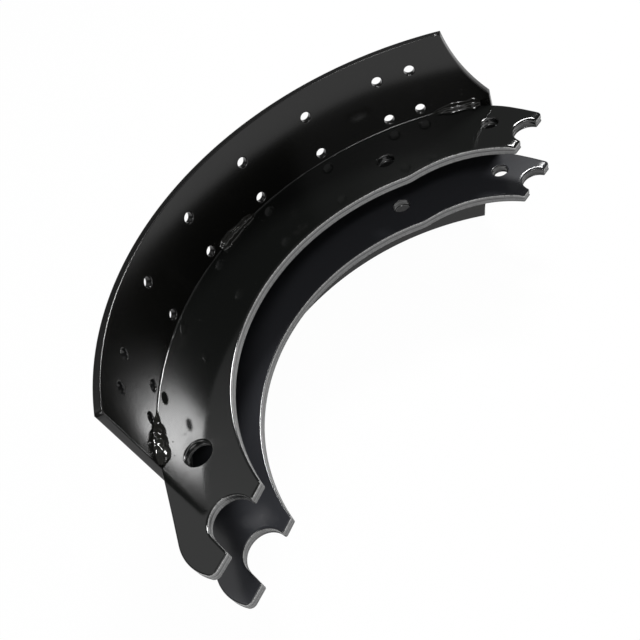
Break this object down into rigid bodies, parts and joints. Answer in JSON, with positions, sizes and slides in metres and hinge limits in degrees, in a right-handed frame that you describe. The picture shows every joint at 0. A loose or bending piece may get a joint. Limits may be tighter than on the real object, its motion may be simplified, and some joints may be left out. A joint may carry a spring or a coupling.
{
  "type": "drum brake shoe",
  "caption": "Unlined double-web drum brake shoe: a curved rim plate with rivet holes, welded to two arched webs with an anchor pin seat at one end and a cam roller seat at the other.",
  "frame": {"origin": "axis of the anchor pin seat, midway between the two webs", "axes": "+X from the anchor end to the cam end, +Y towards the crown of the rim, +Z along the drum's axis; the shoe is alike on both sides of Z = 0"},
  "size_m": [0.3561, 0.1597, 0.163],
  "materials": {
    "black_enamel": "glossy black baked enamel over welded steel"
  },
  "bodies": {
    "root": {"table": "black_enamel", "outboard_web": "black_enamel", "inboard_web": "black_enamel", "outboard_cam_weld": "black_enamel", "outboard_crown_weld": "black_enamel", "outboard_anchor_weld": "black_enamel", "inboard_cam_weld": "black_enamel", "inboard_crown_weld": "black_enamel", "inboard_anchor_weld": "black_enamel"}
  },
  "joints": []
}
